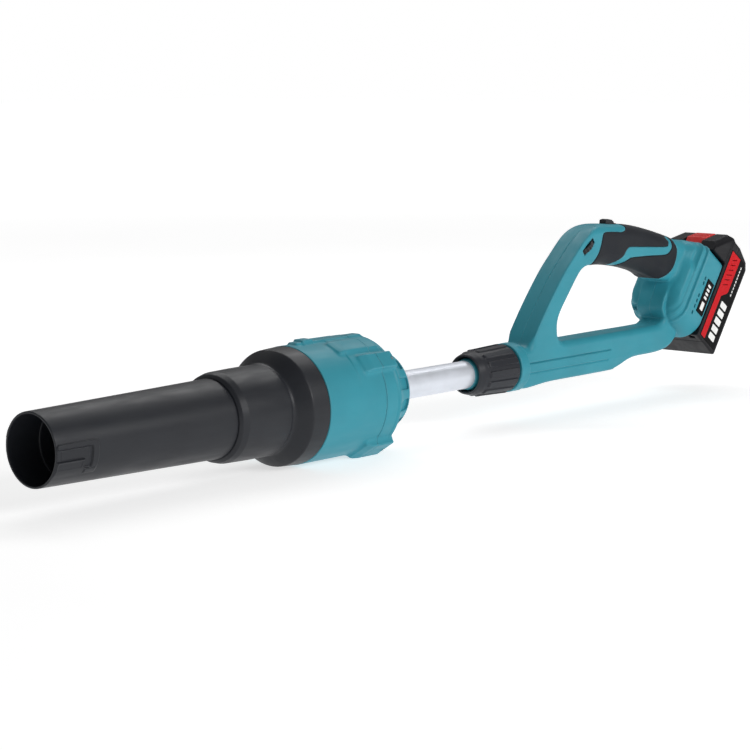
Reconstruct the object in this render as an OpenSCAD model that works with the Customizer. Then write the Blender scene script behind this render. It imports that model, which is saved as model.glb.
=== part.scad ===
// Cordless leaf blower on a telescopic pole.
// The origin is the centre of the nozzle mouth, +X runs back along the pole axis and +Z is up.

/* [Nozzle] */
// Outer radius of the nozzle at its mouth
mouth_r = 32; // [31:0.5:33]
// Outer radius of the nozzle where it enters the duct
nozzle_end_r = 35.9; // [35:0.1:36]
// Visible length of the nozzle
nozzle_len = 202.4; // [190:0.2:203]
// Radius of the straight socket inside the mouth
mouth_bore_r = 29.8; // [29:0.1:30]
// Depth of the socket inside the mouth
mouth_bore_len = 34; // [20:1:40]

/* [Fan head] */
// Outer radius of the fan barrel
barrel_r = 55; // [54:0.5:56]
// Radius of the air passage in the barrel
passage_r = 51; // [50:0.5:51.5]
// Tip radius of the impeller
impeller_r = 49; // [44:0.5:49.5]
// Number of impeller blades
blades = 9; // [5:1:11]
// Number of straightener vanes behind the bell
vanes = 7; // [5:1:9]
// Number of air slots round the rear cover
intake_slots = 12; // [8:1:14]
// Outer radius of the screw lugs
lug_r = 60; // [59:0.5:62]

/* [Pole] */
// Outer radius of the aluminium pole
pole_r = 14; // [14:0.1:14]
// Wall of the pole
pole_wall = 1.2; // [1:0.1:2]
// Inner end of the pole inside the handle
pole_end = 735; // [720:1:740]

/* [Handle] */
// Half the width of the handle loop
loop_half = 17.5; // [17:0.5:19]
// Wall of the handle shells, with the grip skin
shell_wall = 4.4; // [4:0.1:5]
// Thickness of the soft grip skin
skin = 2; // [1.5:0.1:2.2]
// Half the width of the rear housing
housing_half = 34.5; // [34:0.1:35]

/* [Battery] */
// Angle that the battery leans back from upright
lean = 35.6; // [35:0.1:36]
// Length of the battery case
pack_len = 118; // [117:1:119]
// Depth of the battery case from its rail face to its back
pack_back = 41.5; // [41:0.5:43]
// Half the width of the battery case
pack_half = 36; // [35.5:0.5:36]
// Radius of one cell
cell_r = 9.1; // [9:0.1:9.3]
// Length of one cell
cell_len = 65; // [60:1:65]

/* [Hidden] */
$fn = 64;

// Stations along the pole axis
collar_start = 203;
collar_end = 225;
barrel_start = 301.3;
barrel_end = 378;
lug_front = 360;
lug_end = barrel_end - 0.4;
lug_back = 400;
flange_end = 395;
cover_end = 439;
motor_front = 290;
motor_back = 334;
shroud_front = 286;
shroud_back = 342;
impeller_front = 346;
impeller_back = 372;
pole_start = 405;
nut_front = 559;
nut_back = 621.2;
bore_end = 800;

teal = [0.26, 0.58, 0.64];
black = [0.17, 0.18, 0.2];
silver = [0.85, 0.86, 0.9];
steel = [0.6, 0.6, 0.62];
red = [0.8, 0.1, 0.12];

// Lug directions, in degrees from +Y towards +Z
lug_angles = [40, 140, 238, 302];
// Turn that frees the nozzle from the duct
lock_turn = 25;
lug_screw_r = 55.8;
channel_r = 54.5;

// Seen from the side, in X and Z: the outside of the handle
handle_outer = [
    [630, -20], [796, -20], [806, -18.3], [815, -14.5], [826, -10], [838, -9], [872, -8.5],
    [892, -6], [906, 0], [920, 14], [930, 40], [944, 74], [940, 92], [930, 104], [919, 109.8],
    [903, 116.4], [884, 122.5], [864, 127.7], [845, 131.9], [826, 135], [807, 136.8],
    [789, 137.8], [771, 138.3], [757, 134.8], [740, 124.6], [723, 110.3], [706, 95],
    [690, 77.7], [673, 57.6], [657, 36.6], [647, 22], [640, 20], [630, 20]
];
// Seen from the side, in X and Z: the opening for the hand
handle_inner = [
    [712, 17], [868, 17.5], [882, 20], [890, 25], [887.5, 32], [884.5, 39], [887, 48],
    [894, 60], [899, 68.5], [891, 69.5], [875, 74], [861.5, 79.3], [846, 84], [827, 88.4],
    [808, 91.6], [789, 94], [768, 96], [746, 97.2], [736, 95], [727, 88.5], [711.4, 70.8],
    [697, 53.5], [691.5, 43], [691, 32], [695, 23], [702, 18.5]
];
// Seen from the side: where the soft grip covers the handle
grip_zone = [
    [740, 88], [749, 97], [761.4, 107], [768.4, 120], [771, 128.7], [775.5, 130.2],
    [808.7, 128.2], [813.8, 131.9], [810, 140], [900, 140], [930, 106], [928, 92],
    [918, 74], [902, 64], [880, 60], [740, 80]
];
// Seen from the side: the shell-coloured line left between the two skins of the grip
grip_line = [
    [788, 86], [790.6, 93.7], [808.1, 101.6], [817.3, 110.1], [823.8, 111.6], [886.3, 108.4],
    [897, 112], [900, 116], [925, 112], [897, 101.5], [882.6, 99.4], [859.3, 99.8],
    [826.1, 100.2], [813.8, 96.4], [802.7, 92.5], [800, 84]
];
// Screw posts that join the two shells, in X and Z
screw_posts = [[674, 38], [706, 80], [775, 108], [836, 116], [842, 4], [902, 92], [893, 38]];

switch_x = 801;
switch_z = 134;
dial_x = 745;
dial_z = 116.5;
dial_r = 16;
dial_y = -4.2;
dial_w = 5.6;
dial_tilt = -35.2;

// Directions and insets of closed outlines that run anticlockwise
function unit(p) = p / norm(p);
function left_of(a, b) = let (e = unit(b - a)) [-e[1], e[0]];
function corner(a, b, c, d) =
    let (m = left_of(a, b), k = left_of(b, c), w = unit(m + k)) b + w * d / max(0.6, w * m);
function inset(p, d) =
    let (n = len(p)) [for (i = [0:n - 1]) corner(p[(i + n - 1) % n], p[i], p[(i + 1) % n], d)];

// Places children made along Z so that they run along +X from x
module along_x(x) {
    translate([x, 0, 0]) rotate([0, 90, 0]) children();
}

// Places children made along +Y in the direction a round the pole axis
module around_x(a) {
    rotate([a, 0, 0]) children();
}

// Turns an outline given as [radius, x] into a ring round the pole axis
module ring_x(points) {
    rotate([0, 90, 0]) rotate_extrude() polygon(points);
}

// A round bar or tube along X
module tube_x(x0, x1, r_out, r_in = 0) {
    along_x(x0) difference() {
        cylinder(h = x1 - x0, r = r_out);
        if (r_in > 0) translate([0, 0, -1]) cylinder(h = x1 - x0 + 2, r = r_in);
    }
}

// Extrudes a side outline from y0 to y1
module side_slab(y0, y1) {
    translate([0, y1, 0]) rotate([90, 0, 0]) linear_extrude(y1 - y0) children();
}

// The battery's own frame: X is its depth, Z its length
module pack_frame() {
    translate([930.5, 0, 8.5]) rotate([0, lean, 0]) children();
}

// A block given by its two corners
module block(low, high) {
    translate(low) cube(high - low);
}

// A wire through points in the plane y = 0, with round corners
module wire(points, r) {
    for (i = [0:len(points) - 2]) {
        step = points[i + 1] - points[i];
        translate(points[i]) rotate([0, atan2(step[0], step[2]), 0])
            cylinder(h = norm(step), r = r, $fn = 24);
        if (i > 0) translate(points[i]) sphere(r = r * 1.02, $fn = 24);
    }
}

// ---- Nozzle ----

// Ridge of the accessory lock on the nozzle's skin, from x0 to x1 and a0 to a1 degrees
module lock_ridge(x0, x1, a0, a1, high = 1.4) {
    rotate([a0, 0, 0]) rotate([0, 90, 0]) translate([0, 0, x0])
        rotate([0, 0, 90]) rotate_extrude(angle = a1 - a0)
            translate([mouth_r - 1, 0]) square([1 + high, x1 - x0]);
}

module nozzle_tube() {
    color(black) {
        difference() {
            ring_x([
                [mouth_bore_r, 0], [mouth_r - 0.4, 0], [mouth_r, 0.6], [nozzle_end_r, nozzle_len],
                [34.3, nozzle_len + 0.4], [34.3, 223.5], [31.8, 223.5], [32.2, nozzle_len - 12],
                [28.8, mouth_bore_len + 8], [28.4, mouth_bore_len], [mouth_bore_r, mouth_bore_len]
            ]);
        }
        for (side = [0, 180]) {
            lock_ridge(1, 38, side + 17, side + 20);
            lock_ridge(1, 30, side - 6, side - 3);
            lock_ridge(37, 40, side - 14, side + 21, 1.6);
            // Small lug that turns in the duct's collar
            around_x(side + 90 - lock_turn) block([212, 33, -4], [217, 36, 4]);
        }
    }
}

module bell_duct() {
    color(black) difference() {
        ring_x([
            [34.7, collar_start], [36.8, collar_start], [40.4, 211], [41.6, 240], [41.8, 262],
            [42.4, 267], [44.4, 271], [47.6, 274.5], [51, 277.6], [53.2, 281], [54.3, 286],
            [54.9, 301], [51.9, 301], [51.9, 308], [49.6, 308], [49.6, 288], [47, 283],
            [42, 277], [39, 268], [38.6, 250], [33.6, collar_end + 3], [33.6, collar_end],
            [34.7, collar_end - 0.5]
        ]);
        for (side = [90, 270]) {
            // Entry slot and turning groove for the nozzle's lugs
            around_x(side) block([collar_start - 1, 30, -4.6], [217.6, 36.6, 4.6]);
            rotate([side - lock_turn - 8, 0, 0]) rotate([0, 90, 0]) translate([0, 0, 211.4])
                rotate([0, 0, 90]) rotate_extrude(angle = lock_turn + 16)
                    translate([34, 0]) square([2.6, 6.2]);
        }
    }
}

// ---- Motor and fan ----

module nose_cone() {
    nose_len = shroud_front - 262;
    color(black) ring_x(concat(
        [[0, shroud_front]],
        [for (a = [0:15:90]) [24 * cos(a), shroud_front - nose_len * sin(a)]]
    ));
}

module motor_shroud() {
    color(black) {
        difference() {
            tube_x(shroud_front, shroud_back, 24);
            tube_x(shroud_front - 1, shroud_back - 4, 18.6);
            tube_x(shroud_back - 5, shroud_back + 1, 7);
            translate([310.3, 0, 15]) cylinder(h = 12, r = 2.4);
        }
        tube_x(312, shroud_back, passage_r - 0.1, passage_r - 1.7);
        intersection() {
            for (i = [0:vanes - 1]) around_x(90 + (i + 0.5) * 360 / vanes)
                translate([328, 23, 0]) rotate([0, 22, 0]) block([-13, 0, -0.9], [13, 28, 0.9]);
            tube_x(314, shroud_back, passage_r - 0.6, 22);
        }
    }
}

module motor_can() {
    color(steel) difference() {
        tube_x(motor_front, motor_back, 18.5);
        tube_x(motor_front + 6, motor_back - 6, 17.3);
        tube_x(motor_front + 2, motor_front + 7, 6.5);
        tube_x(motor_back - 7, motor_back - 2, 6.5);
        tube_x(motor_back - 3, motor_back + 1, 4);
    }
}

module motor_windings() {
    color([0.72, 0.42, 0.2]) tube_x(298, 326, 17.2, 11.6);
}

module motor_bearings() {
    color(steel) {
        tube_x(motor_front + 2, motor_front + 6, 6.5, 2.53);
        tube_x(motor_back - 6, motor_back - 2, 6.5, 2.53);
    }
}

module motor_shaft() {
    color(steel) tube_x(motor_front + 2.2, 377, 2.5);
}

module rotor_core() {
    color([0.35, 0.35, 0.38]) tube_x(300, 324, 11, 2.5);
}

module impeller() {
    hub_front_r = 23;
    hub_back_r = 13;
    color(black) difference() {
        union() {
            ring_x([
                [0, impeller_front], [hub_front_r, impeller_front],
                [hub_back_r, impeller_back], [0, impeller_back]
            ]);
            intersection() {
                for (i = [0:blades - 1]) around_x(i * 360 / blades)
                    translate([359, 10, 0]) rotate([0, 38, 0])
                        block([-22, 0, -1], [22, impeller_r, 1]);
                tube_x(impeller_front + 0.5, impeller_back - 0.5, impeller_r, 9);
            }
        }
        tube_x(impeller_front - 1, impeller_back + 1, 2.5);
    }
}

module impeller_nut() {
    color(steel) along_x(impeller_back) difference() {
        cylinder(h = 4, r = 5, $fn = 6);
        translate([0, 0, -1]) cylinder(h = 6, r = 2.5);
    }
}

// One screw lug between two stations, round the direction a
module lug(x0, x1, a) {
    around_x(a) block([x0, passage_r + 1, -8], [x1, lug_r, 8]);
}

// Ridge on top that carries the motor's lead
module lead_ridge(x0, x1) {
    block([x0, -7, 50], [x1, 7, 59.4]);
}

module fan_housing() {
    color(teal) difference() {
        union() {
            tube_x(barrel_start, barrel_end, barrel_r);
            lead_ridge(barrel_start + 8, barrel_end);
            for (a = lug_angles) around_x(a) linear_extrude(16, center = true) polygon([
                [lug_front - 14, passage_r + 1.5], [lug_front - 14, barrel_r - 1.5],
                [lug_front, lug_r], [lug_end, lug_r], [lug_end, passage_r + 1.5]
            ]);
        }
        tube_x(barrel_start - 1, 309, 52);
        tube_x(barrel_start - 1, barrel_end + 1, passage_r);
        block([306, -3, 40], [barrel_end + 1, 3, 57]);
        for (a = lug_angles) around_x(a) translate([0, lug_screw_r, 0])
            tube_x(lug_front + 2, barrel_end + 1, 1.5);
    }
}

module rear_cover() {
    color(teal) difference() {
        union() {
            ring_x([
                [50, barrel_end + 0.1], [barrel_r + 0.5, barrel_end + 0.1], [barrel_r + 0.5, 398],
                [53, 406], [47.5, 415], [41.5, 424], [38, 433], [35.5, cover_end],
                [pole_r + 0.05, cover_end], [pole_r + 0.05, 402], [17.5, 402], [17.5, 434],
                [33, 434], [37.5, 422], [44, 411], [50, 401]
            ]);
            for (a = lug_angles) lug(barrel_end + 0.1, lug_back, a);
            lead_ridge(barrel_end + 0.1, 398);
        }
        tube_x(barrel_end - 1, 401, 50);
        block([barrel_end - 1, -3, 40], [392, 3, 57]);
        for (i = [0:intake_slots - 1]) around_x((i + 0.5) * 360 / intake_slots)
            block([403, 22, -5.5], [431, 70, 5.5]);
        for (a = lug_angles) around_x(a) translate([0, lug_screw_r, 0]) {
            tube_x(barrel_end - 1, flange_end + 1, 1.7);
            tube_x(flange_end, lug_back + 1, 3.3);
        }
    }
}

module cover_screws() {
    color(steel) for (a = lug_angles) around_x(a) translate([0, lug_screw_r, 0]) {
        tube_x(lug_front + 4, flange_end, 1.5);
        difference() {
            tube_x(flange_end, flange_end + 2.6, 3);
            block([flange_end + 1.2, -2, -0.4], [flange_end + 3, 2, 0.4]);
            block([flange_end + 1.2, -0.4, -2], [flange_end + 3, 0.4, 2]);
        }
    }
}

// ---- Pole ----

module pole_tube() {
    color(silver) tube_x(pole_start, pole_end, pole_r, pole_r - pole_wall);
}

module pole_plug() {
    color(black) difference() {
        union() {
            tube_x(pole_end - 12, pole_end, pole_r - pole_wall);
            tube_x(pole_end, pole_end + 3, pole_r);
        }
        tube_x(pole_end - 13, pole_end + 4, 2.6);
    }
}

module motor_lead() {
    color(red) wire([
        [pole_end + 2, 0, 0], [396, 0, 0], [385, 0, channel_r], [310.3, 0, channel_r],
        [310.3, 0, 18.6]
    ], 1.6);
}

module clamp_collet() {
    color(teal) difference() {
        union() {
            tube_x(557, 634, 16.2);
            for (x = [602:4:614]) tube_x(x, x + 2.4, 19.4);
            tube_x(618, 621, 19.4);
        }
        tube_x(556, 635, pole_r + 0.06);
        for (a = [45, 135]) around_x(a) block([556, -20, -0.8], [596, 20, 0.8]);
    }
}

module twist_nut() {
    ribs = 14;
    color(black) difference() {
        union() {
            ring_x([
                [16.6, nut_front], [19, nut_front], [20.4, nut_front + 1.6], [22.2, 568],
                [23, 590], [24.2, 606], [24.4, nut_back - 2.4], [24, nut_back - 1],
                [24, nut_back - 0.4], [19.8, nut_back - 0.4], [19.8, 597], [16.6, 597]
            ]);
            for (i = [0:ribs - 1]) around_x(i * 360 / ribs)
                block([575, 20, -2], [nut_back - 3, 24.9, 2]);
        }
        tube_x(nut_front - 1, nut_back, 16.6);
        tube_x(597, nut_back, 19.8);
    }
}

// ---- Handle ----

// The loop as seen from the side, shrunk all round by d
module loop_outline(d) {
    difference() {
        polygon(inset(handle_outer, d));
        polygon(inset(handle_inner, -d));
    }
}

// The rounded loop, shrunk all round by d
module loop_solid(d) {
    side_slab(-(loop_half - d), loop_half - d) loop_outline(4 + d);
    side_slab(-(loop_half - d - 1.5), loop_half - d - 1.5) loop_outline(1.5 + d);
    side_slab(-(loop_half - d - 4), loop_half - d - 4) loop_outline(d);
}

// Points of a rounded corner of radius r whose centre is at [u, y], from angle a0 on
function round_corner(u, y, r, a0) =
    [for (k = [0:4]) [-(u + r * cos(a0 + k * 22.5)), y + r * sin(a0 + k * 22.5)]];

// Plate in the outline of the housing: rounded below, with smaller corners above
module housing_plate(thick, low, high, half, round) {
    top_round = 8;
    rotate([0, 90, 0]) linear_extrude(thick) polygon(concat(
        round_corner(high - top_round, half - top_round, top_round, 0),
        round_corner(low + round, half - round, round, 90),
        round_corner(low + round, round - half, round, 180),
        round_corner(high - top_round, top_round - half, top_round, 270)
    ));
}

// Thin slice of the housing at the depth x
module housing_slice(x, low, high, half, round) {
    translate([x, 0, 0]) housing_plate(1, low, high, half, round);
}

// The wide rear housing, shrunk all round by d and open to the battery
module housing_solid(d, back) {
    pack_frame() hull() {
        housing_slice(-61 + d, 22 + d, 84 - d, 22 - d, 14);
        housing_slice(-50 + d, d - 4, 87 - d, 30 - d, 18);
        housing_slice(-30, d - 10, 87 - d, housing_half - d, 22);
        housing_slice(back - 1, d - 9, 87 - d, housing_half - d, 22);
    }
}

// Everything the two shells are cut from
module handle_solid() {
    loop_solid(0);
    housing_solid(0, -2);
    ring_x([[0, 621.5], [23.4, 621.5], [25.2, 622.6], [25.2, 629], [22, 633], [17, 640], [0, 640]]);
}

// Spaces inside the handle
module handle_cavity() {
    side_slab(-(loop_half - shell_wall), loop_half - shell_wall) difference() {
        loop_outline(shell_wall);
        translate([600, -40]) square([bore_end - 600, 66]);
        translate([879, -40]) square([100, 200]);
    }
    housing_solid(3, 0);
    tube_x(620, bore_end, pole_r + 0.4);
    tube_x(620, 634, 16.3);
    block([790, -12, -4], [900, 12, 12.4]);
    block([868, -12, 74], [914, 12, 106]);
    // Seat of the rocker switch in the top of the handle
    block([switch_x - 10.2, -6.4, 124], [switch_x + 10.2, 6.4, 145]);
}

// Round posts that carry the shell screws, reaching out to the shell's skin
module posts() {
    intersection() {
        screw_holes(-housing_half, housing_half, 4.2);
        union() {
            loop_solid(1);
            housing_solid(1, -9);
        }
    }
}

// Cylinders along Y on every screw axis
module screw_holes(y0, y1, r) {
    for (p = screw_posts) translate([p[0], y1, p[1]]) rotate([90, 0, 0])
        cylinder(h = y1 - y0, r = r);
}

module shell_body() {
    difference() {
        handle_solid();
        difference() {
            handle_cavity();
            posts();
        }
        grip_skin();
        dial_slot();
        // Air slots beside the badge
        pack_frame() for (u = [13.5, 21.6, 28.5, 35.3, 51, 57.1])
            block([-25.4, -40, u - 2.4], [-23, 40, u + 2.4]);
    }
}

module dial_slot() {
    translate([dial_x, dial_y, dial_z]) rotate([0, dial_tilt, 0])
        block([-dial_r - 1, -dial_r - 4, -dial_w / 2 - 0.6], [dial_r + 1, dial_r + 1, dial_w / 2 + 0.6]);
}

module handle_left() {
    color(teal) difference() {
        intersection() {
            shell_body();
            block([600, -60, -60], [1100, -0.05, 200]);
        }
        screw_holes(-12, 1, 1.5);
    }
}

module handle_right() {
    color(teal) difference() {
        intersection() {
            shell_body();
            block([600, 0.05, -60], [1100, 60, 200]);
        }
        screw_holes(-1, 40, 1.8);
        screw_holes(12, 40, 3.3);
    }
}

module handle_screws() {
    color(steel) {
        screw_holes(-11, 12, 1.5);
        screw_holes(12, 14.5, 3);
    }
}

// Soft skin over the grip, both sides together
module grip_skin() {
    difference() {
        intersection() {
            loop_solid(0);
            side_slab(-20, 20) difference() {
                polygon(grip_zone);
                polygon(grip_line);
            }
        }
        loop_solid(skin);
        housing_solid(0, -2);
    }
}

module grip_left() {
    color(black) intersection() {
        grip_skin();
        block([700, -60, 50], [1000, -0.05, 200]);
    }
}

module grip_right() {
    color(black) difference() {
        intersection() {
            grip_skin();
            block([700, 0.05, 50], [1000, 60, 200]);
        }
        screw_holes(12, 40, 3.3);
    }
}

// ---- Controls ----

module switch_bezel() {
    color(black) difference() {
        block([switch_x - 9.8, -6.1, 124.5], [switch_x + 9.8, 6.1, 137]);
        block([switch_x - 8.6, -4.9, 126.2], [switch_x + 8.6, 4.9, 140]);
        rocker_pin(5.6, 1.55);
    }
}

// Pivot of the rocker, reaching to y = half on both sides
module rocker_pin(half, r) {
    translate([switch_x, half, switch_z]) rotate([90, 0, 0]) cylinder(h = 2 * half, r = r);
}

module rocker_button() {
    color(black) difference() {
        side_slab(-4.5, 4.5) polygon([
            [switch_x - 7.5, 138], [switch_x - 7, 130], [switch_x, 128.4], [switch_x + 7, 130],
            [switch_x + 7.5, 138], [switch_x + 7.5, 139.5], [switch_x + 3.5, 142],
            [switch_x - 3, 143.2], [switch_x - 7.1, 142.6], [switch_x - 7.5, 142]
        ]);
        for (x = [-5:1.8:-1]) block([switch_x + x, -5, 142.4], [switch_x + x + 0.8, 5, 145]);
    }
    color(black) rocker_pin(5.4, 1.5);
}

module dial_frame() {
    translate([dial_x, dial_y, dial_z]) rotate([0, dial_tilt, 0]) children();
}

module speed_dial() {
    teeth = 24;
    color(black) dial_frame() difference() {
        translate([0, 0, -dial_w / 2]) cylinder(h = dial_w, r = dial_r);
        translate([0, 0, -dial_w]) cylinder(h = 2 * dial_w, r = 2.05);
        for (i = [0:teeth - 1]) rotate([0, 0, i * 360 / teeth])
            block([dial_r - 0.7, -0.6, -dial_w], [dial_r + 1, 0.6, dial_w]);
    }
}

module dial_pot() {
    color(steel) dial_frame() {
        translate([0, 0, -dial_w / 2 - 1]) cylinder(h = dial_w + 2, r = 2);
        translate([0, 0, -dial_w / 2 - 4]) cylinder(h = 3, r = 6);
    }
}

module control_board() {
    color([0.1, 0.4, 0.2]) pack_frame() block([-22, -24, 14], [-20.4, 24, 74]);
}

module board_parts() {
    color(black) pack_frame() {
        for (u = [20, 34, 48]) block([-20.4, -18, u], [-15.6, -8, u + 10]);
        for (y = [4, 17]) translate([-20.4, y, 60]) rotate([0, 90, 0]) cylinder(h = 9, r = 5);
        block([-20.4, 2, 20], [-17, 16, 34]);
    }
}

module handle_lead() {
    color(red) wire([
        [switch_x, 0, 122.6], [806, 0, 106], [842, 0, 104], [874, 0, 92], [896, 0, 84],
        [911, 0, 76], [926, 0, 70], [940.4, 0, 62.4]
    ], 1.7);
}

module badge_plate() {
    color(black) pack_frame()
        block([-19.6, -housing_half - 0.6, 18.2], [-5, -housing_half, 60]);
}

module battery_rails() {
    color(black) pack_frame() {
        difference() {
            translate([-6, 0, 0]) housing_plate(4, -5.4, 83.4, 31, 22);
            // Window that lets air reach the control board
            block([-7, -12, 58], [-1, 12, 74]);
        }
        for (s = [-1, 1]) {
            block([-2, s * 24 - 1.2, 2], [5.4, s * 24 + 1.2, 80]);
            block([2.4, s * 26 - 3.2, 2], [5.4, s * 26 + 3.2, 80]);
        }
    }
}

module tool_terminals() {
    color([0.85, 0.65, 0.3]) pack_frame()
        for (y = [-10, 10]) block([-2, y - 0.5, 30], [5.4, y + 0.5, 52]);
}

// ---- Battery ----

// Side outline of the battery case between two depths, with d taken off all round
module case_slab(front, back, half, d) {
    pack_frame() side_slab(-half + d, half - d) polygon([
        [front, d - 3], [back - 2 - d, d - 4.5], [back - d, d - 3], [back - d, pack_len - 12 - d],
        [back - 5 - d, pack_len - 2 - d], [front, pack_len - 2 - d]
    ]);
}

module battery_case() {
    color(black) difference() {
        case_slab(12, pack_back, pack_half, 0);
        difference() {
            case_slab(11, pack_back, pack_half, 2.2);
            pack_frame() block([0, -50, 97], [50, 50, 99]);
        }
    }
}

module battery_cover() {
    color(black) difference() {
        union() {
            case_slab(-1.6, 12, pack_half, 0);
            // Shoulders either side of the release button
            pack_frame() side_slab(-pack_half + 1, pack_half - 1) polygon([
                [-28, 88], [-28, 101], [-8, 121.4], [-2, 121.4], [12, pack_len - 2], [12, 88]
            ]);
        }
        // Grooves for the tool's rails, open at the bottom end
        pack_frame() for (s = [-1, 1]) {
            block([-2, s * 24 - 1.6, -10], [6, s * 24 + 1.6, 82]);
            block([2, s * 26 - 3.6, -10], [6, s * 26 + 3.6, 82]);
        }
        // Slots for the tool's terminals, open at the bottom end
        pack_frame() for (y = [-10, 10]) block([-2, y - 1, -10], [6, y + 1, 54]);
        // Well of the release button
        pack_frame() {
            block([-30, -13.4, 91], [9.4, 13.4, 130]);
            block([-2, -9.4, 82.6], [9.4, 9.4, 92]);
        }
    }
}

module battery_cells() {
    color([0.55, 0.75, 0.45]) pack_frame() for (i = [0:4])
        translate([28.4, cell_len / 2, 9.4 + i * (2 * cell_r + 0.8)]) rotate([90, 0, 0])
            cylinder(h = cell_len, r = cell_r);
}

module battery_board() {
    color([0.1, 0.4, 0.2]) pack_frame() block([13.4, -28, 4], [15, 28, 92]);
}

module battery_label(side) {
    pack_frame() side_slab(side * (pack_half + 0.3) - 0.3, side * (pack_half + 0.3) + 0.3)
        polygon([
            [0.6, -0.6], [pack_back - 3, -2], [pack_back - 2.4, 104], [pack_back - 8, 113],
            [2, 113]
        ]);
}

module battery_label_left() {
    color(red) battery_label(-1);
}

module battery_label_right() {
    color(red) battery_label(1);
}

module release_button() {
    color(red) pack_frame() {
        side_slab(-13, 13) polygon([
            [-22, 92], [-22, 108.2], [-8, 121.8], [-4, 121.8], [4, 112], [4, 92]
        ]);
        // Tongue that catches the rail plate
        side_slab(-9, 9) polygon([[-1.4, 83.2], [4, 83.2], [4, 92], [-1.4, 92]]);
    }
}

nozzle_tube();
bell_duct();
nose_cone();
motor_shroud();
motor_can();
motor_windings();
motor_bearings();
motor_shaft();
rotor_core();
impeller();
impeller_nut();
fan_housing();
rear_cover();
cover_screws();
pole_tube();
pole_plug();
motor_lead();
clamp_collet();
twist_nut();
handle_left();
handle_right();
grip_left();
grip_right();
handle_screws();
switch_bezel();
rocker_button();
speed_dial();
dial_pot();
control_board();
board_parts();
handle_lead();
badge_plate();
battery_rails();
tool_terminals();
battery_case();
battery_cover();
battery_cells();
battery_board();
battery_label_left();
battery_label_right();
release_button();
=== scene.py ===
import math
from functools import partial

import bmesh
import bpy
import numpy as np
from mathutils import Matrix, Vector


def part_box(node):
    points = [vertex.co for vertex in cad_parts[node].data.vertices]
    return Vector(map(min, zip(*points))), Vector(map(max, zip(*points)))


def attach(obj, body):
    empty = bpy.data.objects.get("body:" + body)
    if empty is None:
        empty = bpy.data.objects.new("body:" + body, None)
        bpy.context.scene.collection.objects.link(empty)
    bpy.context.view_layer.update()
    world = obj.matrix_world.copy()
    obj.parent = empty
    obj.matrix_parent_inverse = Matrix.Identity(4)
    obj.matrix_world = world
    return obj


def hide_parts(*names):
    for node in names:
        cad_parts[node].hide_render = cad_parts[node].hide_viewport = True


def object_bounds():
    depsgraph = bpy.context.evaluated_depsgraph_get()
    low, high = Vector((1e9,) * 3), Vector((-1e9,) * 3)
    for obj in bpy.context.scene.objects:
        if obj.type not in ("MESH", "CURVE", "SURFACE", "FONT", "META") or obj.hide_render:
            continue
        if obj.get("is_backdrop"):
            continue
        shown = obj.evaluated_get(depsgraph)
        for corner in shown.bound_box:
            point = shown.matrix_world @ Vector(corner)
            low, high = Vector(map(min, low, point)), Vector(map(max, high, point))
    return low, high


# Looks of the cordless leaf blower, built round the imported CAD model.
# Shapes are worked out in millimetres in the CAD's frame: X runs back along the pole, Z is up
# and -Y is the near side. Moulded shapes are signed distance fields, turned into meshes.

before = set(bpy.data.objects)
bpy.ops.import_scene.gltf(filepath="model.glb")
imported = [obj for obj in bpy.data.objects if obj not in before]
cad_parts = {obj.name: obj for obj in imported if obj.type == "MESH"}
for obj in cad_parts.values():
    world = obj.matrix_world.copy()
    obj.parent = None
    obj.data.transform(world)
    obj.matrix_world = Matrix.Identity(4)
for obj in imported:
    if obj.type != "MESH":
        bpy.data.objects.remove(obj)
cad_low, cad_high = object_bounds()
MM = 0.001


def cad(node):
    """Lowest and highest corner of a CAD node in millimetres."""
    low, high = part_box(node)
    return np.array(low) / MM, np.array(high) / MM


# ---- Distance fields ----


def smooth_min(a, b, k):
    h = np.maximum(k - np.abs(a - b), 0) / k
    return np.minimum(a, b) - h * h * k / 4


def smooth_max(a, b, k):
    return -smooth_min(-a, -b, k)


def cut(a, b, k=0.6):
    """Field a with b taken away, the new edge rounded by about k."""
    return smooth_max(a, -b, k)


def ramp(x, low, high):
    t = np.clip((x - low) / (high - low), 0, 1)
    return t * t * (3 - 2 * t)


def rounded(a, b, r):
    """Meeting of two sides a and b with an edge of radius r."""
    p, q = a + r, b + r
    return np.hypot(np.maximum(p, 0), np.maximum(q, 0)) + np.minimum(np.maximum(p, q), 0) - r


def box3(p, low, high, r=0.8):
    """Block between two corners with edges of radius r."""
    q = [np.abs(c - (a + b) / 2) - (b - a) / 2 + r for c, a, b in zip(p, low, high)]
    outer = np.sqrt(sum(np.maximum(c, 0) ** 2 for c in q))
    return outer + np.minimum(np.maximum(np.maximum(q[0], q[1]), q[2]), 0) - r


def box2(u, w, low, high, r=0.8):
    """Rectangle between two corners with corners of radius r."""
    return rounded(np.abs(u - (low[0] + high[0]) / 2) - (high[0] - low[0]) / 2,
                   np.abs(w - (low[1] + high[1]) / 2) - (high[1] - low[1]) / 2, r)


def curve_through(points, steps=6):
    """Closed smooth curve through the points."""
    p = np.array(points, float)
    a, b, c, d = np.roll(p, 1, 0), p, np.roll(p, -1, 0), np.roll(p, -2, 0)
    out = []
    for t in np.arange(steps) / steps:
        out.append(0.5 * (2 * b + (c - a) * t + (2 * a - 5 * b + 4 * c - d) * t * t
                          + (3 * b - a - 3 * c + d) * t ** 3))
    return np.stack(out, 1).reshape(-1, 2)


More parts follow.
